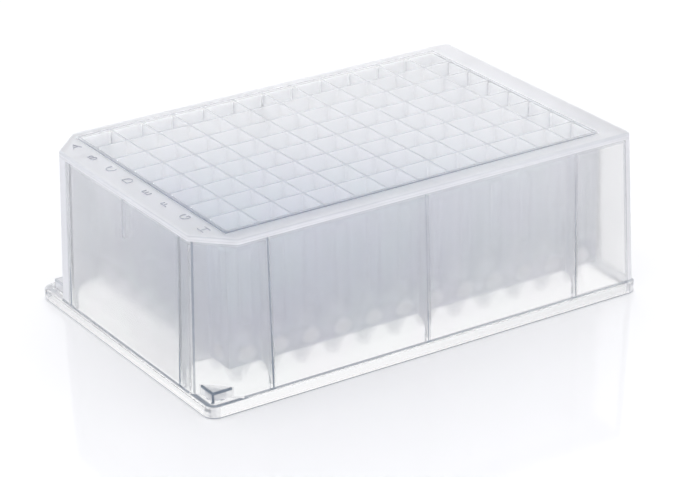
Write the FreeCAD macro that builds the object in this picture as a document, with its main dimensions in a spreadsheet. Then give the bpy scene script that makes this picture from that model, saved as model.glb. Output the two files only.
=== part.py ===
import FreeCAD, Part
import math
import os
import Sketcher
from FreeCAD import Placement, Rotation, Vector

# A deep well plate: twelve columns by eight rows of square wells with pointed floors, moulded in one piece with
# its deck, its tapered skirt and the flange that it stands on. Millimetres, +Z up, the origin under the middle of
# the plate on the surface that it stands on, X along the columns from 1 to 12 and Y towards row A.

SIZES = (
    # the field of wells
    ("columns", 12, "wells along X"),
    ("rows", 8, "wells along Y"),
    ("pitch", 9.0, "centre to centre of neighbouring wells"),
    ("well_wall", 0.8, "wall between two wells at their rims"),
    ("well_narrowing", 0.15, "how far each wall of a well leans in by its shoulder"),
    ("shoulder_level", 11.0, "where a well's straight walls end, above the table"),
    ("point_flat", 1.6, "flat at the bottom of a well, inside"),
    ("point_floor", 1.1, "plastic under that flat"),
    ("tip_flat", 2.9, "flat at the bottom of a tip, outside"),
    ("tip_spread", 7.8, "width of a tip where it leaves the well block"),
    ("tip_level", 2.2, "lowest point of a tip, above the table"),
    ("block_level", 8.2, "underside of the well block, above the table"),
    # the deck round the field
    ("plate_height", 44.0, "table to well rims"),
    ("rim_rise", 0.5, "well rims above the deck"),
    ("deck_thickness", 2.0, "deck"),
    ("deck_edge", 0.5, "bevel round the deck"),
    ("end_margin", 9.88, "field of wells to the flange's edge, short sides"),
    ("side_margin", 6.74, "field of wells to the flange's edge, long sides"),
    # the flange
    ("flange_height", 2.8, "flange"),
    ("flange_corner", 3.18, "radius of the flange's corners"),
    ("end_ledge", 0.75, "flange beyond the skirt's foot, short sides"),
    ("side_ledge", 1.3, "flange beyond the skirt's foot, long sides"),
    # the skirt
    ("skirt_wall", 1.0, "skirt"),
    ("skirt_lean", 1.2, "how far the skirt leans in from foot to deck"),
    ("skirt_corner", 1.0, "radius of the skirt's corners beside column 12"),
    ("corner_cut", 9.2, "leg of the cut-off corners beside column 1, at the foot"),
    ("cut_round", 2.5, "radius where the skirt turns into and out of those cuts"),
    ("corner_box_inset", 1.9, "corner box to the planes of the skirt, at the foot"),
    ("corner_box_rise", 2.5, "corner box above the flange"),
    # the webs between the skirt and the well block
    ("web_thickness", 1.2, "webs"),
    ("web_arch", 2.6, "radius of the arch under a web"),
    ("web_foot", 1.2, "how far the foot of a web stands in from the skirt"),
    ("stub_depth", 1.4, "how far the short web at mid-end stands in from the skirt"),
    ("stub_length", 10.5, "length of that web below the deck"),
)

# how far a unit length at 45 degrees goes along each axis
ASLANT = round(math.sqrt(0.5), 6)
# what a leg of a 45 degree cut loses when its outline shrinks by 1
CUT_SHRINK = round(2 - math.sqrt(2), 6)
# from a corner of 45 degrees to where an arc of radius 1 leaves its sides
CUT_TANGENT = round(math.tan(math.radians(22.5)), 6)


class Size:
    """A length, and the expression on the sheet's cells that gives it, so what is worked out stays bound to them."""

    def __init__(self, number, text=None):
        self.number = number
        self.text = text or str(number)

    def __add__(self, other):
        other = as_size(other)
        return Size(self.number + other.number, f"({self.text} + {other.text})")

    def __sub__(self, other):
        other = as_size(other)
        return Size(self.number - other.number, f"({self.text} - {other.text})")

    def __mul__(self, other):
        other = as_size(other)
        return Size(self.number * other.number, f"({self.text} * {other.text})")

    def __truediv__(self, other):
        other = as_size(other)
        return Size(self.number / other.number, f"({self.text} / {other.text})")

    def __neg__(self):
        return self * -1


def as_size(value):
    """A plain number counts as a size too."""
    return value if isinstance(value, Size) else Size(value)


doc = FreeCAD.newDocument("well_plate")
sheet = doc.addObject("Spreadsheet::Sheet", "Sizes")
cell = {}
for line, (name, number, meaning) in enumerate(SIZES, start=1):
    sheet.set(f"A{line}", meaning)
    sheet.set(f"B{line}", str(number))
    sheet.setAlias(f"B{line}", name)
    cell[name] = Size(number, f"Sizes.{name}")
doc.recompute()

body = doc.addObject("PartDesign::Body", "WellPlate")
body.Label = "well_plate"
GROUND = Size(0.0)


# ---- drawing and building, with every size tied to the sheet

def origin_part(role):
    """One of the body's own origin planes or axes."""
    return next(part for part in body.Origin.OriginFeatures if part.Role == role)


def bind(feature, **sizes):
    """Give each property its number and tie it to the sheet."""
    for prop, size in sizes.items():
        setattr(feature, prop, size.number)
        feature.setExpression(prop, size.text)


def offset_from_plane(feature, offset, rotation=Rotation()):
    """Shift a feature from the origin plane that it is attached to, by three sizes."""
    feature.AttachmentOffset = Placement(Vector(*(size.number for size in offset)), rotation)
    for axis, size in zip("xyz", offset):
        feature.setExpression(f"AttachmentOffset.Base.{axis}", size.text)


def sketch_on(role, name, level=GROUND):
    """A sketch on an origin plane, or at a level along that plane's normal."""
    sketch = body.newObject("Sketcher::SketchObject", name)
    sketch.AttachmentSupport = (origin_part(role), [""])
    sketch.MapMode = "FlatFace"
    offset_from_plane(sketch, (GROUND, GROUND, level))
    return sketch


def fix_point(sketch, curve, end, point):
    """Tie one end of a curve to its distances from the sketch's axes."""
    for kind, size in zip(("DistanceX", "DistanceY"), point):
        forward = size.number >= 0
        ends = (-1, 1, curve, end) if forward else (curve, end, -1, 1)
        index = sketch.addConstraint(Sketcher.Constraint(kind, *ends, abs(size.number)))
        sketch.setExpression(f"Constraints[{index}]", size.text if forward else (-size).text)


def draw_outline(sketch, points, arcs=None):
    """A closed outline through the points. arcs gives the centre and radius of each arc in it, by the place in
    points of the point where it starts."""
    arcs = arcs or {}
    ends = []
    for i, start in enumerate(points):
        stop = points[(i + 1) % len(points)]
        a, b = (Vector(x.number, y.number, 0) for x, y in (start, stop))
        curve = Part.LineSegment(a, b)
        if i in arcs:
            centre, radius = arcs[i]
            middle = Vector(centre[0].number, centre[1].number, 0)
            curve = Part.Arc(a, middle + ((a + b) * 0.5 - middle).normalize() * radius.number, b)
        sketch.addGeometry(curve, False)
        # a sketch keeps its arcs anticlockwise, so an arc may start at its far end
        ends.append((1, 2) if (sketch.getPoint(i, 1) - a).Length < (sketch.getPoint(i, 1) - b).Length else (2, 1))
    for i, point in enumerate(points):
        fix_point(sketch, i, ends[i][0], point)
    for i in range(len(points)):
        after = (i + 1) % len(points)
        sketch.addConstraint(Sketcher.Constraint("Coincident", i, ends[i][1], after, ends[after][0]))
    for i, (centre, radius) in arcs.items():
        index = sketch.addConstraint(Sketcher.Constraint("Radius", i, radius.number))
        sketch.setExpression(f"Constraints[{index}]", radius.text)


def box_points(half_x, half_y):
    """The corners of a rectangle about the origin, anticlockwise from the front left."""
    return [(-half_x, -half_y), (half_x, -half_y), (half_x, half_y), (-half_x, half_y)]


def add_prism(kind, name, sketch, length, both_ways=False):
    """Pad a sketch up from its plane, or pocket it down; both_ways pads it half to each side."""
    prism = body.newObject(f"PartDesign::{kind}", name)
    prism.Profile = sketch
    if both_ways:
        prism.SideType = "Symmetric"
    bind(prism, Length=length)
    return prism


def add_loft(kind, name, sketches):
    """Join sketches at rising levels by flat walls."""
    loft = body.newObject(f"PartDesign::{kind}Loft", name)
    loft.Profile = sketches[0]
    loft.Sections = sketches[1:]
    loft.Ruled = True
    return loft


def add_square_taper(kind, name, centre, low, low_width, high, high_width):
    """A square pyramid frustum that stands at a centre, from one level to another."""
    taper = body.newObject(f"PartDesign::{kind}Wedge", name)
    taper.AttachmentSupport = (origin_part("XY_Plane"), [""])
    taper.MapMode = "FlatFace"
    offset_from_plane(taper, (*centre, GROUND), Rotation(Vector(1, 0, 0), 90))
    near, far = low_width * 0.5, high_width * 0.5
    bind(taper, Ymin=low, Ymax=high, Xmin=-near, Xmax=near, Zmin=-near, Zmax=near,
         X2min=-far, X2max=far, Z2min=-far, Z2max=far)
    return taper


def repeat_over_field(name, features):
    """Repeat what was made at the first well at every well."""
    pattern = body.newObject("PartDesign::LinearPattern", name)
    pattern.Originals = features
    pattern.Direction = (origin_part("X_Axis"), [""])
    pattern.Direction2 = (origin_part("Y_Axis"), [""])
    bind(pattern, Length=(cell["columns"] - 1) * cell["pitch"], Length2=(cell["rows"] - 1) * cell["pitch"])
    pattern.Occurrences = cell["columns"].number
    pattern.setExpression("Occurrences", cell["columns"].text)
    pattern.Occurrences2 = cell["rows"].number
    pattern.setExpression("Occurrences2", cell["rows"].text)
    body.Tip = pattern
    return pattern


# ---- where things are

field_x = cell["columns"] * cell["pitch"] * 0.5
field_y = cell["rows"] * cell["pitch"] * 0.5
first_well = (cell["pitch"] * 0.5 - field_x, cell["pitch"] * 0.5 - field_y)
block_x = field_x + cell["well_wall"] * 0.5
block_y = field_y + cell["well_wall"] * 0.5
flange_x = field_x + cell["end_margin"]
flange_y = field_y + cell["side_margin"]
foot_x = flange_x - cell["end_ledge"]
foot_y = flange_y - cell["side_ledge"]

deck_level = cell["plate_height"] - cell["rim_rise"]
edge_level = deck_level - cell["deck_edge"]
under_deck = deck_level - cell["deck_thickness"]
mid_deck = deck_level - cell["deck_thickness"] * 0.5
recess_level = cell["flange_height"] - cell["skirt_wall"]
corner_box_level = cell["flange_height"] + cell["corner_box_rise"]


def mirror_to_back(front, arcs):
    """A whole outline from its front half, given anticlockwise from the left side to the right side, and from that
    half's arcs."""
    points = front + [(x, -y) for x, y in reversed(front)]
    back_arcs = {len(points) - 2 - i: ((x, -y), radius) for i, ((x, y), radius) in arcs.items()}
    return points, {**arcs, **back_arcs}


def skirt_outline(inset):
    """The skirt's outline shrunk by an inset: a rectangle with rounded corners and, beside column 1, with its
    corners cut off."""
    x, y = foot_x - inset, foot_y - inset
    r, turn = cell["skirt_corner"], cell["cut_round"]
    cut = cell["corner_cut"] - inset * CUT_SHRINK
    along = turn * CUT_TANGENT
    aslant = along * ASLANT
    front = [(-x, cut + along - y), (aslant - x, cut - aslant - y), (cut - aslant - x, aslant - y),
             (cut + along - x, -y), (x - r, -y), (x, r - y)]
    arcs = {0: ((turn - x, cut + along - y), turn), 2: ((cut + along - x, turn - y), turn), 4: ((x - r, r - y), r)}
    return mirror_to_back(front, arcs)


def make_flange():
    """The rounded rectangle that the plate stands on."""
    x, y, r = flange_x, flange_y, cell["flange_corner"]
    front = [(-x, r - y), (r - x, -y), (x - r, -y), (x, r - y)]
    arcs = {0: ((r - x, r - y), r), 2: ((x - r, r - y), r)}
    sketch = sketch_on("XY_Plane", "FlangeOutline")
    draw_outline(sketch, *mirror_to_back(front, arcs))
    add_prism("Pad", "Flange", sketch, cell["flange_height"])


def make_skirt():
    """The outside of skirt and deck: it leans in evenly as it rises, and ends in a bevel."""
    lean = cell["skirt_lean"]
    levels = ((GROUND, GROUND), (edge_level, lean), (deck_level, lean + cell["deck_edge"]))
    sketches = []
    for i, (level, inset) in enumerate(levels):
        sketch = sketch_on("XY_Plane", f"SkirtOutline{i + 1}", level)
        draw_outline(sketch, *skirt_outline(inset))
        sketches.append(sketch)
    add_loft("Additive", "Skirt", sketches)


def corner_box_points(side, inset, reach):
    """A right-angled triangle in a cut-off corner: its corner lies inset from the skirt's planes, and its long side
    lies along the cut, moved in by reach."""
    x, y = foot_x - inset, foot_y - inset
    leg = cell["corner_cut"] - inset * 2 + reach
    if side < 0:
        return [(-x, -y), (leg - x, -y), (-x, leg - y)]
    return [(-x, y), (-x, y - leg), (leg - x, y)]


def make_corner_boxes():
    """The small three-cornered boxes that stand on the flange in the cut-off corners."""
    for side, row in ((-1, "H"), (1, "A")):
        sketch = sketch_on("XY_Plane", f"CornerBoxOutline{row}")
        draw_outline(sketch, corner_box_points(side, cell["corner_box_inset"], cell["skirt_wall"] * 0.5 / ASLANT))
        add_prism("Pad", f"CornerBox{row}", sketch, corner_box_level)


def make_hollow():
    """Everything under the deck and inside the skirt, then the recess that fits over a plate below."""
    lean_under_deck = cell["skirt_lean"] * under_deck / edge_level
    sketches = []
    for i, (level, lean) in enumerate(((GROUND, GROUND), (under_deck, lean_under_deck))):
        sketch = sketch_on("XY_Plane", f"HollowOutline{i + 1}", level)
        draw_outline(sketch, *skirt_outline(cell["skirt_wall"] + lean))
        sketches.append(sketch)
    add_loft("Subtractive", "Hollow", sketches)
    sketch = sketch_on("XY_Plane", "RecessOutline", recess_level)
    draw_outline(sketch, box_points(foot_x - cell["skirt_wall"], foot_y - cell["skirt_wall"]))
    add_prism("Pocket", "Recess", sketch, recess_level)


def hollow_corner_boxes():
    """The corner boxes are open below, with the skirt's wall all round."""
    level = corner_box_level - cell["skirt_wall"]
    for side, row in ((-1, "H"), (1, "A")):
        sketch = sketch_on("XY_Plane", f"CornerBoxInside{row}", level)
        draw_outline(sketch, corner_box_points(side, cell["corner_box_inset"] + cell["skirt_wall"], GROUND))
        add_prism("Pocket", f"CornerBoxHollow{row}", sketch, level)


def make_well_block():
    """The block that the wells are sunk in, from its underside up to the rims."""
    sketch = sketch_on("XY_Plane", "BlockOutline", cell["block_level"])
    draw_outline(sketch, box_points(block_x, block_y))
    add_prism("Pad", "WellBlock", sketch, cell["plate_height"] - cell["block_level"])


def web_points(side, block, foot):
    """A web's profile, as distance from the plate's middle and height: down inside the block, under an arch to a
    narrow foot on the skirt, and back up inside the skirt's wall. Returned with the arch's centre."""
    arch = cell["web_arch"]
    inner = foot - cell["skirt_wall"] - cell["web_foot"]
    wall_foot = foot - cell["skirt_wall"] * 0.5
    wall_top = wall_foot - cell["skirt_lean"]
    springing = cell["block_level"] - arch
    profile = [(block - arch, mid_deck), (block - arch, cell["block_level"]), (inner - arch, cell["block_level"]),
               (inner, springing), (inner, recess_level), (wall_foot, recess_level), (wall_top, mid_deck)]
    centre = (inner - arch, springing)
    return [(across * side, level) for across, level in profile], (centre[0] * side, centre[1])


def make_web(name, role, place, side, block, foot):
    """One web that joins the skirt to the well block, in a plane across that side of the plate."""
    points, centre = web_points(side, block, foot)
    sketch = sketch_on(role, f"{name}Profile", place)
    draw_outline(sketch, points, {2: (centre, cell["web_arch"])})
    add_prism("Pad", name, sketch, cell["web_thickness"], both_ways=True)


def make_stub(name, side):
    """The short web that hangs under the deck at the middle of a short side."""
    wall_top = foot_x - cell["skirt_lean"] - cell["skirt_wall"] * 0.5
    inner = foot_x - cell["skirt_lean"] - cell["skirt_wall"] - cell["stub_depth"]
    low = under_deck - cell["stub_length"]
    sketch = sketch_on("XZ_Plane", f"{name}Profile")
    draw_outline(sketch, [(x * side, level) for x, level in
                          ((inner, mid_deck), (inner, low), (wall_top, low), (wall_top, mid_deck))])
    add_prism("Pad", name, sketch, cell["web_thickness"], both_ways=True)


def make_webs():
    """Three webs on each long side and two on each short side, all in line with walls between wells."""
    last_wall_x = field_x - cell["pitch"]
    last_wall_y = field_y - cell["pitch"]
    for side, where in ((-1, "Front"), (1, "Back")):
        for i, place in enumerate((-last_wall_x, GROUND, last_wall_x)):
            make_web(f"{where}Web{i + 1}", "YZ_Plane", place, side, block_y, foot_y)
    for side, where in ((-1, "Left"), (1, "Right")):
        for i, place in enumerate((-last_wall_y, last_wall_y)):
            make_web(f"{where}Web{i + 1}", "XZ_Plane", place, side, block_x, foot_x)
        make_stub(f"{where}Stub", side)


def make_wells():
    """A tip under the first well, its square shaft and its pointed floor, then the same at every well."""
    tip = add_square_taper("Additive", "Tip", first_well, cell["tip_level"], cell["tip_flat"],
                           cell["block_level"], cell["tip_spread"])
    opening = cell["pitch"] - cell["well_wall"]
    shoulder = opening - cell["well_narrowing"] * 2
    shaft = add_square_taper("Subtractive", "WellShaft", first_well, cell["shoulder_level"], shoulder,
                             cell["plate_height"], opening)
    point = add_square_taper("Subtractive", "WellPoint", first_well, cell["tip_level"] + cell["point_floor"],
                             cell["point_flat"], cell["shoulder_level"], shoulder)
    repeat_over_field("Wells", [tip, shaft, point])


make_flange()
make_skirt()
make_corner_boxes()
make_hollow()
hollow_corner_boxes()
make_well_block()
make_webs()
make_wells()

# ---- build, check and write

doc.recompute()
for thing in doc.Objects:
    if {"Invalid", "Error"} & set(thing.State):
        raise RuntimeError(f"{thing.Name} failed: {thing.State}")
shape = body.Shape
if shape.isNull() or not shape.isValid() or len(shape.Solids) != 1:
    raise RuntimeError("the well plate is not one valid solid")
os.makedirs("parts", exist_ok=True)
shape.exportStep(f"parts/{body.Label}.step")
box = shape.BoundBox
print(f"{body.Label}: {box.XLength:.2f} x {box.YLength:.2f} x {box.ZLength:.2f} mm, {shape.Volume / 1000:.1f} cm3,"
      f" {len(shape.Faces)} faces")
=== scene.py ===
import math

import bmesh
import bpy
from mathutils import Matrix, Vector


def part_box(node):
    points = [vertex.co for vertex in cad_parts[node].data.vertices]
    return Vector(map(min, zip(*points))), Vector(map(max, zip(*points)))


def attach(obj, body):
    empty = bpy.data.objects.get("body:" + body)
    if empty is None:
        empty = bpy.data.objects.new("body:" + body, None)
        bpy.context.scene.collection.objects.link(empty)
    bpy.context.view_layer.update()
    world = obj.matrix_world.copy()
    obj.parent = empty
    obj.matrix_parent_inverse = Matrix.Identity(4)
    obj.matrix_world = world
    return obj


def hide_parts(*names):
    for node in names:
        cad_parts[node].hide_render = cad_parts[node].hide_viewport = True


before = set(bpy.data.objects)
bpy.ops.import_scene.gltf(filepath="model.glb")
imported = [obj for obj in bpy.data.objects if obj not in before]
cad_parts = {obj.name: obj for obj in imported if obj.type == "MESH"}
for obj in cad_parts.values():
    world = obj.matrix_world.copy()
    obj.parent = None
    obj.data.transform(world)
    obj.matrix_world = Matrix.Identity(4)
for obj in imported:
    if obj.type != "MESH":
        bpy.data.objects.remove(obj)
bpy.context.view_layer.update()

# ---- The field of wells ----------------------------------------------------------------------------------------
# Twelve columns by eight rows of square wells, moulded side by side so that neighbours share a wall. Each has a
# rounded rim, walls that lean in a little, a shoulder where the square turns round, and a pointed floor. Under the
# block every point shows as a short round tip.
MM = 0.001
COLUMNS, ROWS = 12, 8
PITCH = 9.0
OPENING = 8.2
RIM_LEVEL = round(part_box("well_plate")[1].z / MM, 3)
DECK_LEVEL = RIM_LEVEL - 0.5
DECK_UNDERSIDE = DECK_LEVEL - 2.0
BLOCK_LEVEL = 8.2
SIDE_STEPS = 8


def square_ring(half, corner, level):
    """Points anticlockwise round a square with rounded corners, or a circle where the corner is as large as half."""
    ring = []
    flat = half - corner
    for side in range(4):
        for step in range(SIDE_STEPS):
            along = step / SIDE_STEPS * 2 - 1
            turned = 45 - 90 * step / SIDE_STEPS
            if corner and step:
                along = (step - 1) / (SIDE_STEPS - 2) * 2 - 1
                turned *= corner / half
            angle = math.radians(90 * side - 90 - turned)
            across = Matrix.Rotation(math.radians(90 * side), 2) @ Vector((along * flat, -flat))
            ring.append((across.x + corner * math.cos(angle), across.y + corner * math.sin(angle), level))
    return ring


def skin_rings(mesh, rings, outside_up=True, closed=True):
    """Faces between each ring and the next one, and a fan over the last one where it is closed."""
    loops = [[mesh.verts.new(point) for point in ring] for ring in rings]
    for upper, lower in zip(loops, loops[1:]):
        for i in range(len(upper)):
            after = (i + 1) % len(upper)
            quad = (upper[i], upper[after], lower[after], lower[i])
            mesh.faces.new(quad if outside_up else quad[::-1]).smooth = True
    if closed:
        last = loops[-1]
        middle = mesh.verts.new(sum((v.co for v in last), Vector()) / len(last))
        for i in range(len(last)):
            fan = (last[i], last[(i + 1) % len(last)], middle)
            mesh.faces.new(fan if outside_up else fan[::-1]).smooth = True
    return loops


# half width, corner radius and level: down the inside of a well, and from the block's underside down to a tip
WELL_PROFILE = [(PITCH / 2, 0, RIM_LEVEL), (OPENING / 2 + 0.14, 0.5, RIM_LEVEL),
                (OPENING / 2 + 0.04, 0.52, RIM_LEVEL - 0.05), (OPENING / 2, 0.55, RIM_LEVEL - 0.18),
                (3.97, 0.7, 15.0), (3.95, 1.4, 13.0), (3.93, 2.6, 11.6), (3.88, 3.88, 10.6), (3.62, 3.62, 9.7),
                (3.2, 3.2, 8.7), (1.15, 1.15, 4.0), (0.85, 0.85, 3.5), (0.5, 0.5, 3.3)]
TIP_PROFILE = [(PITCH / 2, 0, BLOCK_LEVEL), (4.25, 4.25, BLOCK_LEVEL), (3.95, 3.95, BLOCK_LEVEL - 0.12),
               (3.75, 3.75, BLOCK_LEVEL - 0.5), (1.7, 1.7, 2.9), (1.4, 1.4, 2.4), (1.0, 1.0, 2.2)]

wells = bmesh.new()
for column in range(COLUMNS):
    for row in range(ROWS):
        centre = Matrix.Translation(((column + 0.5 - COLUMNS / 2) * PITCH, (row + 0.5 - ROWS / 2) * PITCH, 0))
        for profile, outside_up in ((WELL_PROFILE, True), (TIP_PROFILE, False)):
            rings = [[centre @ Vector(point) for point in square_ring(*section)] for section in profile]
            skin_rings(wells, rings, outside_up)
SAME_POINT = 0.001
bmesh.ops.remove_doubles(wells, verts=wells.verts, dist=SAME_POINT)


# the outer wall of the block, from the rims past the deck down to the block's underside
def field_ring(margin, level):
    """Points round the whole field, one at each point of the wells' own squares, pushed out by a margin."""
    half_x, half_y = COLUMNS * PITCH / 2, ROWS * PITCH / 2
    steps_x, steps_y = COLUMNS * SIDE_STEPS, ROWS * SIDE_STEPS
    ring = [(-half_x + PITCH / SIDE_STEPS * i, -half_y) for i in range(steps_x)]
    ring += [(half_x, -half_y + PITCH / SIDE_STEPS * i) for i in range(steps_y)]
    ring += [(half_x - PITCH / SIDE_STEPS * i, half_y) for i in range(steps_x)]
    ring += [(-half_x, half_y - PITCH / SIDE_STEPS * i) for i in range(steps_y)]
    return [(x * (1 + margin / half_x) if abs(x) == half_x else x,
             y * (1 + margin / half_y) if abs(y) == half_y else y, level) for x, y in ring]


BLOCK_MARGIN = 0.4
skin_rings(wells, [field_ring(0, RIM_LEVEL), field_ring(0.26, RIM_LEVEL), field_ring(0.36, RIM_LEVEL - 0.04),
                   field_ring(BLOCK_MARGIN, RIM_LEVEL - 0.14), field_ring(BLOCK_MARGIN, BLOCK_LEVEL + 0.7),
                   field_ring(BLOCK_MARGIN - 0.15, BLOCK_LEVEL + 0.2), field_ring(0, BLOCK_LEVEL)],
           outside_up=False, closed=False)
bmesh.ops.remove_doubles(wells, verts=wells.verts, dist=SAME_POINT)
well_mesh = bpy.data.meshes.new("well_block")
wells.to_mesh(well_mesh)
wells.free()
well_block = bpy.data.objects.new("well_block", well_mesh)
bpy.context.scene.collection.objects.link(well_block)

# ---- Deck, skirt and flange ------------------------------------------------------------------------------------
# The shell round the block: a flat deck with a rounded edge, a skirt that leans in evenly and has two cut-off
# corners beside column 1, and a flange with rounded corners that the plate stands on.
FLANGE_X, FLANGE_Y, FLANGE_HEIGHT, FLANGE_CORNER = 63.88, 42.74, 2.8, 3.18
FOOT_X, FOOT_Y = FLANGE_X - 0.75, FLANGE_Y - 1.3
LEAN, SKIRT_WALL, CORNER_CUT = 1.2, 1.0, 9.2
DECK_EDGE, ROOT_EDGE, FLANGE_EDGE = 0.6, 0.45, 0.3
EDGE_LEVEL = DECK_LEVEL - 0.5


def arc(centre, radius, start, stop, steps):
    """Points along an arc, in degrees."""
    turns = [math.radians(start + (stop - start) * i / steps) for i in range(steps + 1)]
    return [(centre[0] + radius * math.cos(t), centre[1] + radius * math.sin(t)) for t in turns]


def mirrored(front):
    """The front half of an outline, then the same points on the other side of the long axis."""
    return front + [(x, -y) for x, y in reversed(front)]


def skirt_ring(inset, level, cut=CORNER_CUT, turn=2.5, corner=1.0):
    """The skirt's outline, shrunk by an inset."""
    x, y = FOOT_X - inset, FOOT_Y - inset
    cut -= inset * (2 - math.sqrt(2))
    turn = max(turn - inset, 0.3)
    along = turn * math.tan(math.radians(22.5))
    front = arc((turn - x, cut + along - y), turn, 180, 225, 4)
    front += arc((cut + along - x, turn - y), turn, 225, 270, 4)
    front += arc((x - corner, corner - y), corner, -90, 0, 5)
    return [(px, py, level) for px, py in mirrored(front)]


def flange_ring(inset, level):
    """The flange's outline, shrunk by an inset."""
    x, y, r = FLANGE_X - inset, FLANGE_Y - inset, FLANGE_CORNER - inset
    front = arc((r - x, r - y), r, 180, 270, 8) + arc((x - r, r - y), r, -90, 0, 8)
    return [(px, py, level) for px, py in mirrored(front)]


def lean_at(level):
    return LEAN * level / EDGE_LEVEL


def solid_from_rings(name, rings):
    """A closed solid from rings given from the top down."""
    solid = bmesh.new()
    loops = [[solid.verts.new(point) for point in ring] for ring in rings]
    for upper, lower in zip(loops, loops[1:]):
        for i in range(len(upper)):
            after = (i + 1) % len(upper)
            solid.faces.new((upper[i], lower[i], lower[after], upper[after]))
    solid.faces.new(loops[0])
    solid.faces.new(loops[-1][::-1])
    return as_object(name, solid)


def as_object(name, solid):
    mesh = bpy.data.meshes.new(name)
    bmesh.ops.recalc_face_normals(solid, faces=solid.faces)
    solid.to_mesh(mesh)
    solid.free()
    made = bpy.data.objects.new(name, mesh)
    bpy.context.scene.collection.objects.link(made)
    return made


def rectangle(x, y, level):
    return [(-x, -y, level), (x, -y, level), (x, y, level), (-x, y, level)]


def prism(name, outlines):
    """Closed prisms, each from an outline and the step to its other end."""
    solid = bmesh.new()
    for outline, step in outlines:
        near = [solid.verts.new(p) for p in outline]
        far = [solid.verts.new(Vector(p) + Vector(step)) for p in outline]
        solid.faces.new(near)
        solid.faces.new(far[::-1])
        for i in range(len(near)):
            after = (i + 1) % len(near)
            solid.faces.new((near[i], far[i], far[after], near[after]))
    return as_object(name, solid)


edge_arc = arc((DECK_EDGE, -DECK_EDGE), DECK_EDGE, 90, 180, 5)
shell_rings = [skirt_ring(lean_at(EDGE_LEVEL) + run, DECK_LEVEL + drop) for run, drop in edge_arc]
root_arc = arc((-ROOT_EDGE, ROOT_EDGE), ROOT_EDGE, 0, -90, 4)
shell_rings += [skirt_ring(lean_at(FLANGE_HEIGHT) + run, FLANGE_HEIGHT + rise) for run, rise in root_arc]
INSIDE_FLANGE = 1.5
shell_rings.append(skirt_ring(-0.4, INSIDE_FLANGE))
shell = solid_from_rings("shell", shell_rings)

flange_edge = arc((FLANGE_EDGE, -FLANGE_EDGE), FLANGE_EDGE, 90, 180, 3)
flange = solid_from_rings("flange", [flange_ring(run, FLANGE_HEIGHT + drop) for run, drop in flange_edge]
                          + [flange_ring(run, -drop) for run, drop in reversed(flange_edge)])

# the inside of the skirt, and the wider recess in the flange's underside; cutting tools start a little under the table
BELOW = -1
inner_top = SKIRT_WALL + lean_at(DECK_UNDERSIDE)
hollow = solid_from_rings("hollow", [skirt_ring(inner_top + 0.3, DECK_UNDERSIDE),
                                     skirt_ring(inner_top + 0.08, DECK_UNDERSIDE - 0.1),
                                     skirt_ring(inner_top, DECK_UNDERSIDE - 0.35),
                                     skirt_ring(SKIRT_WALL - 0.03, BELOW)])
recess = prism("recess", [(rectangle(FOOT_X - SKIRT_WALL, FOOT_Y - SKIRT_WALL, BELOW),
                           (0, 0, FLANGE_HEIGHT - SKIRT_WALL - BELOW))])

# the small three-cornered boxes in the cut-off corners, open below
BOX_INSET, BOX_LEVEL, BOX_LEG, BOX_WALL, BOX_INNER_LEG, BOX_START = 1.9, 5.3, 6.1, 1, 4.4, 2
box_x, box_y = BOX_INSET - FOOT_X, FOOT_Y - BOX_INSET


def corner_triangle(near, far, side, level):
    """A right-angled triangle in one cut-off corner. Both legs run from near to far."""
    return [(box_x + near, side * (box_y - near), level), (box_x + far, side * (box_y - near), level),
            (box_x + near, side * (box_y - far), level)]


corner_boxes = prism("corner_boxes", [(corner_triangle(0, BOX_LEG, side, BOX_START), (0, 0, BOX_LEVEL - BOX_START))
                                      for side in (-1, 1)])
box_hollows = prism("box_hollows", [(corner_triangle(BOX_WALL, BOX_INNER_LEG, side, BELOW), (0, 0, BOX_LEVEL))
                                    for side in (-1, 1)])

# the webs that join the skirt to the block, and the short one at the middle of each end
WEB, ARCH, WEB_FOOT, STUB_REACH, STUB_LENGTH = 1.2, 2.6, 1.2, 1.4, 10.5
INTO_BLOCK, INTO_DECK = 0.2, 1
BLOCK_X, BLOCK_Y = COLUMNS * PITCH / 2 + BLOCK_MARGIN, ROWS * PITCH / 2 + BLOCK_MARGIN


def web_profile(block, foot):
    """Distance from the middle and height, round one web: under the deck, down the skirt, its foot and the arch."""
    inner = foot - SKIRT_WALL - WEB_FOOT
    outline = [(block - INTO_BLOCK, DECK_UNDERSIDE + INTO_DECK),
               (foot - LEAN - SKIRT_WALL / 2, DECK_UNDERSIDE + INTO_DECK),
               (foot - SKIRT_WALL / 2, FLANGE_HEIGHT - SKIRT_WALL), (inner + 0.2, FLANGE_HEIGHT - SKIRT_WALL),
               (inner, FLANGE_HEIGHT - SKIRT_WALL + 0.2)]
    outline += arc((inner - ARCH, BLOCK_LEVEL - ARCH), ARCH, 0, 90, 8)
    return outline + [(block - INTO_BLOCK, BLOCK_LEVEL)]


def stub_profile(foot):
    inner = foot - LEAN - SKIRT_WALL - STUB_REACH
    low = DECK_UNDERSIDE - STUB_LENGTH
    return [(inner, DECK_UNDERSIDE + INTO_DECK), (foot - LEAN - SKIRT_WALL / 2, DECK_UNDERSIDE + INTO_DECK),
            (foot - LEAN - SKIRT_WALL / 2, low), (inner + 0.3, low), (inner, low + 0.3)]


outlines = []
for side in (-1, 1):
    for place in (-(COLUMNS - 2) * PITCH / 2, 0, (COLUMNS - 2) * PITCH / 2):
        outlines.append(([(place - WEB / 2, side * d, z) for d, z in web_profile(BLOCK_Y, FOOT_Y)], (WEB, 0, 0)))
    for place in (-(ROWS - 2) * PITCH / 2, (ROWS - 2) * PITCH / 2):
        outlines.append(([(side * d, place - WEB / 2, z) for d, z in web_profile(BLOCK_X, FOOT_X)], (0, WEB, 0)))
    outlines.append(([(side * d, -WEB / 2, z) for d, z in stub_profile(FOOT_X)], (0, WEB, 0)))
webs = prism("webs", outlines)

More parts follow.
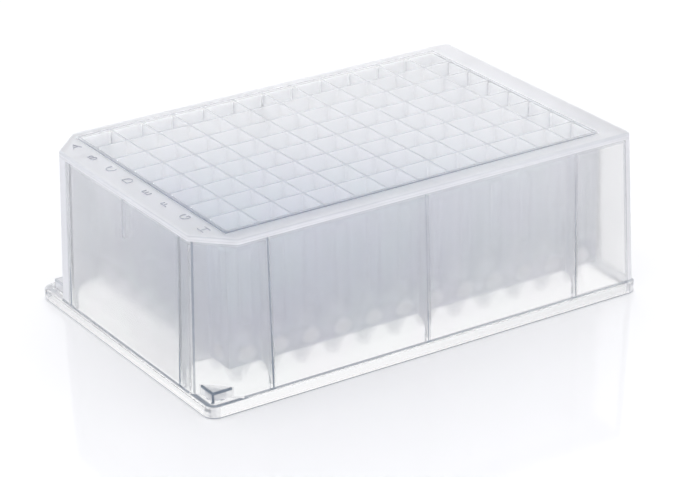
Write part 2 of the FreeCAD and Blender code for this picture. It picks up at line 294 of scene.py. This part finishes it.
# room for the block of wells, right through, a little smaller so that the two grow together
ROOM_FROM, ROOM_HEIGHT = -5, 60
block_room = prism("block_room", [(rectangle(BLOCK_X - 0.1, BLOCK_Y - 0.1, ROOM_FROM), (0, 0, ROOM_HEIGHT))])

for operation, tool in (("UNION", flange), ("UNION", corner_boxes), ("DIFFERENCE", hollow), ("DIFFERENCE", recess),
                        ("DIFFERENCE", box_hollows), ("UNION", webs), ("DIFFERENCE", block_room),
                        ("UNION", well_block)):
    step = shell.modifiers.new(tool.name, "BOOLEAN")
    step.operation, step.object, step.solver = operation, tool, "EXACT"
    shell.data = bpy.data.meshes.new_from_object(shell.evaluated_get(bpy.context.evaluated_depsgraph_get()))
    shell.modifiers.clear()
    bpy.data.objects.remove(tool)

plate = shell
plate.name = "plate"
plate.data.transform(Matrix.Scale(MM, 4))
for face in plate.data.polygons:
    face.use_smooth = True
SHARP_FROM = math.radians(35)
plate.data.set_sharp_from_angle(angle=SHARP_FROM)

# ---- The clear wall --------------------------------------------------------------------------------------------
# Natural polypropylene, with no pigment. In the thin deck, skirt, webs and flange it is nearly clear, with a light
# frost from the mould. Its bends, roots and webs show as thin dark lines, painted shade for the dark that refraction
# shows there.


class Wire:
    """A socket of a node tree, which ordinary sums add Math nodes to."""

    def __init__(self, tree, socket=None):
        self.tree = tree
        self.socket = socket

    def node(self, kind, settings=None, **values):
        """Any node: its settings first, then what goes into its sockets, by name or by place."""
        made = self.tree.nodes.new(kind)
        for name, value in (settings or {}).items():
            setattr(made, name, value)
        for name, value in values.items():
            socket = made.inputs[int(name[1:]) if name[0] == "_" else name.replace("_", " ")]
            if isinstance(value, Wire):
                self.tree.links.new(value.socket, socket)
            elif isinstance(value, bpy.types.Node):
                self.tree.links.new(value.outputs[0], socket)
            else:
                socket.default_value = value
        return made

    def of(self, node, output=0):
        return Wire(self.tree, node.outputs[output])

    def math(self, operation, *values):
        places = {f"_{i}": value for i, value in enumerate(values)}
        return self.of(self.node("ShaderNodeMath", {"operation": operation}, **places))

    def __add__(self, other):
        return self.math("ADD", self, other)

    def __sub__(self, other):
        return self.math("SUBTRACT", self, other)

    def __rsub__(self, other):
        return self.math("SUBTRACT", other, self)

    def __mul__(self, other):
        return self.math("MULTIPLY", self, other)

    def __abs__(self):
        return self.math("ABSOLUTE", self)

    __radd__ = __add__
    __rmul__ = __mul__

    def at_least(self, other):
        return self.math("MAXIMUM", self, other)

    def at_most(self, other):
        return self.math("MINIMUM", self, other)

    def above(self, low, high):
        """0 up to low, 1 from high on, smooth between."""
        return self.of(self.node("ShaderNodeMapRange", {"interpolation_type": "SMOOTHSTEP"},
                                 Value=self, From_Min=low, From_Max=high))

    def below(self, low, high):
        return 1 - self.above(low, high)

    def near(self, middle, half, soft=0.06):
        """1 within half of the middle, 0 further off."""
        return abs(self - middle).below(half - soft, half + soft)

    def root(self):
        return self.math("SQRT", self)

    def fraction(self):
        return self.math("FRACT", self)

    def toward(self, other, share):
        """This value, moved to another one by a share."""
        return self + (other - self) * share

    def mixed(self, share, first, second):
        """The first shader, with a share of the second one."""
        return self.node("ShaderNodeMixShader", Fac=share, _1=first, _2=second)

    def blended(self, share, first, second):
        """The first colour, moved to the second one by a share."""
        return self.of(self.node("ShaderNodeMix", {"data_type": "RGBA"}, _0=share, _6=first, _7=second), 2)


def plain_material(name):
    """A new material with nothing in it, and the wire that its nodes hang from."""
    material = bpy.data.materials.new(name)
    material.use_nodes = True
    material.node_tree.nodes.clear()
    return material, Wire(material.node_tree)


def place_in_mm(pen):
    """The place on the plate in millimetres, whole and as x, y and z."""
    place = pen.of(pen.node("ShaderNodeTexCoord"), "Object")
    spot = pen.of(pen.node("ShaderNodeVectorMath", {"operation": "SCALE"}, _0=place, _3=1 / MM))
    split = pen.node("ShaderNodeSeparateXYZ", Vector=spot)
    return spot, pen.of(split, "X"), pen.of(split, "Y"), pen.of(split, "Z")


def far_share(x, y, along=0.55):
    """0 at the corner beside well H1, 1 at the corner beside well A12."""
    return (x * along + y * 0.83).above(-60.0, 60.0)


def slow_tints(pen, spot):
    """Soft clouds, 0 to 1, from the flow of the plastic."""
    return pen.of(pen.node("ShaderNodeTexNoise", Vector=spot, Scale=0.08, Detail=1.0)).above(0.4, 0.6)


FROST_DEPTH = 0.00003


def frosted(pen, spot, strength):
    """The fine frost of the mould."""
    grain = pen.node("ShaderNodeTexNoise", Vector=spot, Scale=2.5, Detail=1.0)
    return pen.of(pen.node("ShaderNodeBump", Strength=strength, Distance=FROST_DEPTH, Height=grain))


clear_plastic, pen = plain_material("clear_polypropylene")
spot, x, y, z = place_in_mm(pen)
out_x, out_y = abs(x), abs(y)
toward_far = far_share(x, y)
far_half = y.above(-1.0, 1.0)

# depth under the skirt's outer face, from each end, side and cut-off corner
lean = z * (LEAN / EDGE_LEVEL)
end_depth = FOOT_X - out_x - lean
side_depth = FOOT_Y - out_y - lean
cut_depth = (x - out_y + (FOOT_X + FOOT_Y - CORNER_CUT)) * math.sqrt(0.5) - lean
depth = end_depth.at_most(side_depth).at_most(cut_depth)
outside = depth.below(0.1, 0.3)
on_end = (end_depth - depth).below(0.1, 0.3)
on_first_end = on_end * x.below(-50.0, -49.0)

# the skirt's bends, the webs, and the panels beyond the last webs
END_WEB = 27.3
square_bend = end_depth.at_least(side_depth).below(1.6, 2.2)
cut_bend = end_depth.at_least(cut_depth).below(0.9, 1.5) * far_half
in_bend = square_bend.at_least(cut_bend)
in_web = depth.above(1.15, 1.35) * z.below(DECK_UNDERSIDE - 0.3, DECK_UNDERSIDE - 0.1) * (1 - in_bend)
in_stub = in_web * out_y.near(0.0, 0.8) * out_x.above(56.0, 57.0)
past_web = y.above(END_WEB + 0.3, END_WEB + 1.7) * on_first_end
last_panel = x.above(45.0, 48.0)

# flange and deck
in_flange = z.below(FLANGE_HEIGHT + 0.1, FLANGE_HEIGHT + 0.6)
in_deck = z.above(42.1, EDGE_LEVEL)
under_deck = z.above(40.6, 41.0) * depth.above(0.8, 0.95) * (1 - in_deck)
round_x, round_y = out_x - (FLANGE_X - FLANGE_CORNER), out_y - (FLANGE_Y - FLANGE_CORNER)
past_x, past_y = round_x.at_least(0), round_y.at_least(0)
round_corner = past_x.at_most(past_y).above(0.1, 0.5)

# the boxes in the cut-off corners
from_box_x, from_box_y = x - box_x, box_y - out_y
in_box = from_box_x.above(-0.3, -0.1) * from_box_y.above(-0.3, -0.1) * (from_box_x + from_box_y).below(6.3, 6.6)
in_box = in_box * z.above(2.9, 3.1) * z.below(BOX_LEVEL + 0.1, BOX_LEVEL + 0.3)

# slow streaks along the flow of the plastic
streaks = pen.of(pen.node("ShaderNodeTexNoise", Vector=spot, Scale=0.05, Detail=1.0))
STREAK = 0.06

# haze: the share of each part that scatters the light
SKIRT_HAZE, BEND_HAZE, WEB_HAZE, STUB_HAZE, FLANGE_HAZE, CORNER_HAZE = 0.18, 0.92, 0.35, 0.5, 0.05, 0.4
UNDER_HAZE, BOX_HAZE, DECK_HAZE, EDGE_HAZE, MORE_FAR = 0.6, 0.4, 0.48, 0.85, 0.4
less_haze = (toward_far * 0.08).at_least(z.below(4.0, 12.0) * 0.12).at_least(last_panel * 0.16)
deck_edge = z.above(41.6, 41.9) * depth.below(0.4, 0.7)
haze = SKIRT_HAZE - less_haze + (streaks - 0.5) * STREAK
for share, place in ((BEND_HAZE, in_bend.at_least(past_web)), (WEB_HAZE, in_web), (STUB_HAZE, in_stub),
                     (FLANGE_HAZE + toward_far * MORE_FAR + round_corner * CORNER_HAZE, in_flange),
                     (UNDER_HAZE, under_deck), (BOX_HAZE + far_half * MORE_FAR, in_box),
                     (DECK_HAZE + toward_far * 0.25, in_deck), (EDGE_HAZE, deck_edge)):
    haze = haze.toward(share, place)
HAZE = (0.96, 0.965, 0.99, 1.0)
haze_front = pen.node("ShaderNodeBsdfDiffuse", Color=HAZE)
haze_through = pen.node("ShaderNodeBsdfTranslucent", Color=HAZE)
hazy = pen.mixed(0.5 - in_deck * (0.05 + toward_far * 0.17), haze_front, haze_through)

# the clear part: rough where the mould was frosted, smooth on the webs and the flange
SKIRT_ROUGH, DECK_ROUGH, POLISHED_ROUGH, SKIRT_FROST, CLEAR_IOR = 0.25, 0.3, 0.05, 0.05, 1.3
CLEAR_MINT, CLEAR_LILAC, CLEAR_PALE_TINT = (0.982, 0.994, 1.0, 1.0), (0.985, 0.982, 1.0, 1.0), (0.988, 0.99, 1.0, 1.0)
rough = SKIRT_ROUGH + z.above(42.0, 42.8) * (DECK_ROUGH - SKIRT_ROUGH) + (streaks - 0.5) * STREAK
rough = rough.toward(POLISHED_ROUGH, in_web.at_least(in_flange))
thin_color = pen.blended(slow_tints(pen, spot), CLEAR_MINT, CLEAR_LILAC)
# the tint is paler in the flange, and paler towards the far corner and over the last panel as painted light
clear_color = pen.blended(in_flange.at_least(toward_far).at_least(last_panel), thin_color, CLEAR_PALE_TINT)
clear = pen.node("ShaderNodeBsdfPrincipled", Base_Color=clear_color, Transmission_Weight=1.0, IOR=CLEAR_IOR,
                 Roughness=rough, Normal=frosted(pen, spot, SKIRT_FROST * (1 - in_flange)))

# painted shade on the skirt: dark lines where the webs, the first end and the near cut-off corner show dark by
# refraction, and a shaded strip on the first end
FIRST_WEB, MIDDLE_WEB, LAST_WEB, SIDE_FROM = -45.4, -0.7, 44.5, 36.2
LINE_HALF, THIN_HALF, END_SHADE, LOW_SHADE, CUT_SHADE = 0.22, 0.15, 0.2, 0.75, 0.5
on_skirt = outside * z.above(FLANGE_HEIGHT, FLANGE_HEIGHT + 0.2) * z.below(DECK_UNDERSIDE, DECK_UNDERSIDE + 0.7)
low = z.below(8.0, 16.0)
first_line = x.near(FIRST_WEB, LINE_HALF) * (0.55 + low * 0.3)
middle_line = x.near(MIDDLE_WEB, THIN_HALF) * (0.25 + low * 0.4)
last_line = x.near(LAST_WEB, THIN_HALF) * (0.4 + low * 0.15) * z.below(33.0, 37.0)
side_lines = first_line.at_least(middle_line).at_least(last_line) * out_y.above(SIDE_FROM - 0.1, SIDE_FROM + 0.1)
end_line = (out_y - END_WEB).near(0, LINE_HALF + 0.12) * out_y.below(SIDE_FROM - 0.1, SIDE_FROM + 0.1)
end_line = end_line * (END_SHADE + low * (LOW_SHADE - END_SHADE))
near_strip = (y.near(-29.6, 1.9, 0.4) * 0.12).at_least(y.below(-32.0, 10.0) * 0.07) * on_first_end
cut_line = end_depth.near(0.73, 0.2) * (cut_depth - depth).below(0.1, 0.2) * CUT_SHADE
painted_shade = on_skirt * side_lines.at_least(end_line).at_least(near_strip).at_least(cut_line)

# more painted shade: dark lines at the skirt's root, round the flange and on the corner boxes, where refraction shows
# dark
root_line = z.near(FLANGE_HEIGHT + 0.2, 0.2) * depth.below(0.2, 0.4) * (depth + 0.6).above(0.0, 0.1)
root_line = root_line * (1 - 0.85 * (cut_depth - depth).below(0.1, 0.3))
from_edge = FLANGE_CORNER - (past_x * past_x + past_y * past_y).root() - round_x.at_least(round_y).at_most(0)
foot_line = z.below(0.25, 0.4) * from_edge.near(0.0, 0.3)
ledge_line = from_edge.near(1.25, 0.65, 0.25) * z.near(FLANGE_HEIGHT, 0.15) * x.below(-53.0, -52.0)
ledge_line = ledge_line * depth.below(-0.3, -0.1) * (round_x + 9.0).above(0.0, 1.5) * (round_y + 9.0).above(0.0, 1.5)
box_edge = z.near(5.05, 0.3) * from_box_x.near(0, 0.45).at_least(from_box_y.near(0, 0.45))
box_edge = box_edge * from_box_x.at_least(from_box_y).below(5.3, 5.6) * from_box_x.at_most(from_box_y).below(0.5, 0.55)
box_stem = from_box_x.near(0.0, 0.4) * from_box_y.near(0.0, 0.4) * z.below(5.2, 5.4) * z.above(2.6, 2.8)

# painted shade on the deck: a light shade towards the near side, a dark line round the far edge and one on the near
# bevel
near_deck = in_deck * (1 - toward_far) * (1 - 0.7 * x.below(-55.5, -54.5))
far_rim = in_deck * depth.below(0.35, 0.55) * toward_far
bevel = z.near(43.1, 0.15) * depth.below(0.2, 0.3) * (1 - toward_far)
ROOT_SHADE, FOOT_SHADE, LEDGE_SHADE, BOX_SHADE, LESS_FAR = 0.65, 0.85, 0.8, 0.9, 0.6
DECK_SHADE, EDGE_SHADE, BEVEL_SHADE = 0.09, 0.4, 0.18
for line, share in ((root_line, ROOT_SHADE - 0.55 * toward_far), (foot_line, FOOT_SHADE),
                    (ledge_line, LEDGE_SHADE - far_half * LESS_FAR),
                    (box_edge.at_least(box_stem), BOX_SHADE - far_half * LESS_FAR),
                    (near_deck, DECK_SHADE), (far_rim, EDGE_SHADE), (bevel, BEVEL_SHADE)):
    painted_shade = painted_shade.at_least(line * share)
# the dark shader that carries all the painted shade
SHADE_COLOR, SHADE_ROUGH, PLASTIC_IOR = (0.13, 0.17, 0.23, 1.0), 0.3, 1.49
dark = pen.node("ShaderNodeBsdfPrincipled", Base_Color=SHADE_COLOR, Roughness=SHADE_ROUGH, IOR=PLASTIC_IOR)
pen.node("ShaderNodeOutputMaterial", Surface=pen.mixed(painted_shade, pen.mixed(haze, clear, hazy), dark))

# ---- The milky wells -------------------------------------------------------------------------------------------
# The same plastic in the block of wells, where many walls stand one behind the other and it looks milky. Each well's
# round floor and the ribs between the wells show through the outer wall: the floor as a painted highlight, the wells
# and ribs as lighter and darker bands that are partly painted shading. Every rim has a fine grey line of painted
# shade.
milky_plastic, pen = plain_material("milky_polypropylene")
spot, x, y, z = place_in_mm(pen)
toward_far = far_share(x, y)
tints = slow_tints(pen, spot)
beside_block = (abs(x) - BLOCK_X).at_least(abs(y) - BLOCK_Y)
on_wall = beside_block.above(-0.15, -0.05)
on_side = abs(y).above(SIDE_FROM - 0.1, SIDE_FROM + 0.1)
at_deck = beside_block.above(-1.5, -1.35) * z.above(38.0, 41.0) * z.below(43.5, 43.7)
far_edge = (x - BLOCK_X).at_least(y - BLOCK_Y).above(-0.9, -0.7)

# each well behind the block's outer wall: a clearer band, clearer for real and lighter as painted shading of the
# well's rounded body, and a painted highlight at its round floor
FLOOR_AT, FLOOR_SPOT = 10.6, 2.6
off_well = abs((y.toward(x, on_side) * (1 / PITCH)).fraction() - 0.5) * PITCH
from_floor = (z - FLOOR_AT).at_least(0) * 0.7 + (FLOOR_AT - z).at_least(0) * 1.6
floor_highlight = off_well * off_well * 0.7 + from_floor * from_floor
floor_highlight = floor_highlight.below(FLOOR_SPOT ** 2 * 0.2, FLOOR_SPOT ** 2)
band = off_well.below(1.0, 3.0)

# milk: the share of the block that isn't clear
INNER_MILK, WALL_MILK, LOW_MILK, FOOT_MILK, SPOT_MILK, BAND_MILK = 0.3, 0.4, 0.35, 0.2, 0.45, -0.14
RIM_MILK, DECK_MILK, TIP_MILK = 0.3, 0.8, 0.4
wall_milk = WALL_MILK + z.below(9.0, 20.0) * LOW_MILK + z.below(8.6, 10.0) * FOOT_MILK
wall_milk = wall_milk + band * BAND_MILK + floor_highlight * SPOT_MILK
share = (INNER_MILK + on_wall * (wall_milk - INNER_MILK)).toward(RIM_MILK, z.above(43.4, 43.6))
share = share.toward(DECK_MILK, at_deck) * (1 - z.below(7.6, 8.15) * (1 - TIP_MILK))

# the outer wall is a darker grey than the open milk; both grow paler towards the far corner as painted light
WALL_MINT, WALL_LILAC, WALL_LIT = (0.76, 0.8, 0.86, 1.0), (0.77, 0.785, 0.88, 1.0), (0.98, 0.98, 0.99, 1.0)
MILK_MINT, MILK_LILAC, MILK = (0.8, 0.86, 0.9, 1.0), (0.82, 0.83, 0.92, 1.0), (0.98, 0.985, 0.999, 1.0)
BLOCK_FROST, BLOCK_ROUGH = 0.3, 0.35
open_color = pen.blended((toward_far * 1.8).at_most(1), pen.blended(tints, MILK_MINT, MILK_LILAC), MILK)
painted_far_light = y.above(-45.0, 45.0).toward(far_share(x, y, along=0.95), on_side)
wall_color = pen.blended(painted_far_light, pen.blended(tints, WALL_MINT, WALL_LILAC), WALL_LIT)
milk_color = pen.blended(on_wall * (1 - 0.3 * band), open_color, wall_color)
# the round floors take the plain milk colour as a painted highlight
milk = pen.node("ShaderNodeBsdfPrincipled", Base_Color=pen.blended(floor_highlight, milk_color, MILK),
                Roughness=BLOCK_ROUGH, IOR=PLASTIC_IOR, Normal=frosted(pen, spot, BLOCK_FROST))
milk_through = pen.node("ShaderNodeBsdfTranslucent", Color=MILK)
empty = pen.node("ShaderNodeBsdfTransparent", Color=(1, 1, 1, 1))
through = (0.5 - on_wall * (0.1 + floor_highlight * 0.35)) * (1 - at_deck)
milky = pen.mixed(share, empty, pen.mixed(through, milk, milk_through))

# painted shade: grey lines on the rims, and on the step from the rims down to the deck, fading towards the far corner
STEP_SHADE, RIM_SHADE = 0.55, 0.5
off_column = PITCH / 2 - abs((x * (1 / PITCH)).fraction() - 0.5) * PITCH
off_row = PITCH / 2 - abs((y * (1 / PITCH)).fraction() - 0.5) * PITCH
step_line = on_wall * z.above(DECK_LEVEL - 0.1, DECK_LEVEL) * z.below(RIM_LEVEL - 0.1, RIM_LEVEL - 0.04)
step_line = step_line * (1 - 0.5 * toward_far) * (1 - 0.85 * far_edge)
rim_line = (1 - 0.6 * toward_far) * (1 - 0.6 * far_edge) * z.above(RIM_LEVEL - 0.2, RIM_LEVEL - 0.1)
rim_line = rim_line * off_column.at_most(off_row).below(0.15, 0.25)
painted_shade = (step_line * STEP_SHADE).at_least(rim_line * RIM_SHADE)
dark = pen.node("ShaderNodeBsdfPrincipled", Base_Color=SHADE_COLOR, Roughness=SHADE_ROUGH, IOR=PLASTIC_IOR)
pen.node("ShaderNodeOutputMaterial", Surface=pen.mixed(painted_shade, milky, dark))

# faces of the block are milky, all others clear
plate.data.materials.clear()
plate.data.materials.append(clear_plastic)
plate.data.materials.append(milky_plastic)
BLOCK_SLACK = 0.02
for face in plate.data.polygons:
    corners = [plate.data.vertices[i].co / MM for i in face.vertices]
    if all(abs(p.x) < BLOCK_X + BLOCK_SLACK and abs(p.y) < BLOCK_Y + BLOCK_SLACK for p in corners):
        face.material_index = 1
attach(plate, "root")
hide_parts("well_plate")

# ---- Row letters -----------------------------------------------------------------------------------------------
# A to H beside the rows, on the deck at the cut-off end. They stand a fifth of a millimetre proud, moulded in one
# with the plate.
LETTER_HEIGHT, LETTER_RISE, LETTER_X, LETTER_THINNER = 3.0, 0.2, -57.3, -0.12
CAPITAL = 0.73  # height of a capital in a font of size 1
letter_points, letter_faces = [], []
for row, letter in enumerate("ABCDEFGH"):
    text = bpy.data.curves.new("letter", "FONT")
    text.body, text.size, text.extrude = letter, LETTER_HEIGHT / CAPITAL, LETTER_RISE
    text.resolution_u, text.offset = 3, LETTER_THINNER
    shape = bpy.data.objects.new("letter", text)
    mesh = bpy.data.meshes.new_from_object(shape)
    bpy.data.objects.remove(shape)
    low = Vector((min(v.co.x for v in mesh.vertices), min(v.co.y for v in mesh.vertices), 0))
    high = Vector((max(v.co.x for v in mesh.vertices), max(v.co.y for v in mesh.vertices), 0))
    centre = Vector((LETTER_X, ((ROWS - 1) / 2 - row) * PITCH, DECK_LEVEL))
    first = len(letter_points)
    letter_points += [(v.co - (low + high) / 2 + centre) * MM for v in mesh.vertices]
    letter_faces += [[first + i for i in face.vertices] for face in mesh.polygons]
letter_mesh = bpy.data.meshes.new("row_letters")
letter_mesh.from_pydata(letter_points, [], letter_faces)
letters = bpy.data.objects.new("row_letters", letter_mesh)
bpy.context.scene.collection.objects.link(letters)

LETTER_GREY, LETTER_PALE = (0.45, 0.46, 0.52, 1.0), (0.55, 0.56, 0.62, 1.0)
letter_plastic, pen = plain_material("letter_plastic")
place = pen.of(pen.node("ShaderNodeTexCoord"), "Object")
grain = pen.of(pen.node("ShaderNodeTexNoise", Vector=place, Scale=1200, Detail=2.0))
letter_bump = pen.node("ShaderNodeBump", Strength=0.3, Distance=FROST_DEPTH, Height=grain)
letter_color = pen.blended(grain.above(0.35, 0.65), LETTER_GREY, LETTER_PALE)
letter_body = pen.node("ShaderNodeBsdfPrincipled", Base_Color=letter_color, Roughness=0.4 + grain * 0.1,
                       IOR=PLASTIC_IOR, Normal=letter_bump)
pen.node("ShaderNodeOutputMaterial", Surface=letter_body)
letter_mesh.materials.append(letter_plastic)
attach(letters, "root")

# ---- The floor -------------------------------------------------------------------------------------------------
# A white glossy table top. It shows white to the eye, keeps the plate's shadow and gives back a faint image of it.
FLOOR_GLOW, FLOOR_GLOSS, FLOOR_ROUGH, FLOOR_REACH = 0.46, 0.12, 0.05, 3
FLOOR_MATT, FLOOR_POLISH = (0.96, 0.96, 1, 1), (0.96, 0.965, 1, 1)
floor_mesh = bpy.data.meshes.new("floor")
floor_mesh.from_pydata(rectangle(FLOOR_REACH, FLOOR_REACH, 0), [], [(0, 1, 2, 3)])
floor = bpy.data.objects.new("floor", floor_mesh)
bpy.context.scene.collection.objects.link(floor)
table_top, pen = plain_material("white_table_top")
rays = pen.node("ShaderNodeLightPath")
straight = pen.of(rays, "Is Camera Ray")
seen_otherwise = pen.of(rays, "Is Glossy Ray").at_least(pen.of(rays, "Is Transmission Ray"))
matt = pen.node("ShaderNodeBsdfDiffuse", Color=FLOOR_MATT)
white = pen.node("ShaderNodeEmission", Color=(1, 1, 1, 1), Strength=1.0)
paint = pen.mixed(straight * FLOOR_GLOW + (1 - straight) * seen_otherwise, matt, white)
polish = pen.node("ShaderNodeBsdfGlossy", Color=FLOOR_POLISH, Roughness=FLOOR_ROUGH)
pen.node("ShaderNodeOutputMaterial", Surface=pen.mixed(straight * FLOOR_GLOSS, paint, polish))
floor_mesh.materials.append(table_top)

# ---- The light -------------------------------------------------------------------------------------------------
# Soft light from all round, brighter behind the plate, so that the clear wall and the wells glow.
LIGHT_FRONT, LIGHT_BACK = 1.05, 1.25
BACK_TURN = math.radians(-32.9)
world = bpy.data.worlds.new("studio")
bpy.context.scene.world = world
world.use_nodes = True
world.node_tree.nodes.clear()
pen = Wire(world.node_tree)
straight = pen.of(pen.node("ShaderNodeLightPath"), "Is Camera Ray")
split = pen.node("ShaderNodeSeparateXYZ", Vector=pen.of(pen.node("ShaderNodeTexCoord"), "Generated"))
behind = pen.of(split, "Y") * math.cos(BACK_TURN) - pen.of(split, "X") * math.sin(BACK_TURN)
light = (LIGHT_FRONT + behind.above(-0.5, 0.8) * (LIGHT_BACK - LIGHT_FRONT)).toward(1.0, straight)
pen.node("ShaderNodeOutputWorld", Surface=pen.node("ShaderNodeBackground", Color=(1, 1, 1, 1), Strength=light))

# ---- The camera ------------------------------------------------------------------------------------------------
# A long lens, from the front left and a little above.
camera_data = bpy.data.cameras.new("camera")
camera_data.sensor_width = 36
camera_data.lens = 147.265
camera_data.clip_start = 0.01
camera = bpy.data.objects.new("camera", camera_data)
bpy.context.scene.collection.objects.link(camera)
azimuth, elevation, roll = math.radians(-32.876), math.radians(23.814), math.radians(-0.848)
camera.location = (-0.36008, -0.56253, 0.31012)
level = math.cos(elevation)
back = Vector((math.sin(azimuth) * level, -math.cos(azimuth) * level, math.sin(elevation)))
right = Vector((math.cos(azimuth), math.sin(azimuth), 0))
up = back.cross(right)
across = right * math.cos(roll) + up * math.sin(roll)
upward = up * math.cos(roll) - right * math.sin(roll)
camera.rotation_euler = Matrix((across, upward, back)).transposed().to_euler()
bpy.context.scene.camera = camera

bpy.context.scene.view_settings.view_transform = "Standard"
bpy.context.scene.cycles.max_bounces = 28
bpy.context.scene.cycles.diffuse_bounces = 8
bpy.context.scene.cycles.transmission_bounces = 18
bpy.context.scene.cycles.transparent_max_bounces = 40
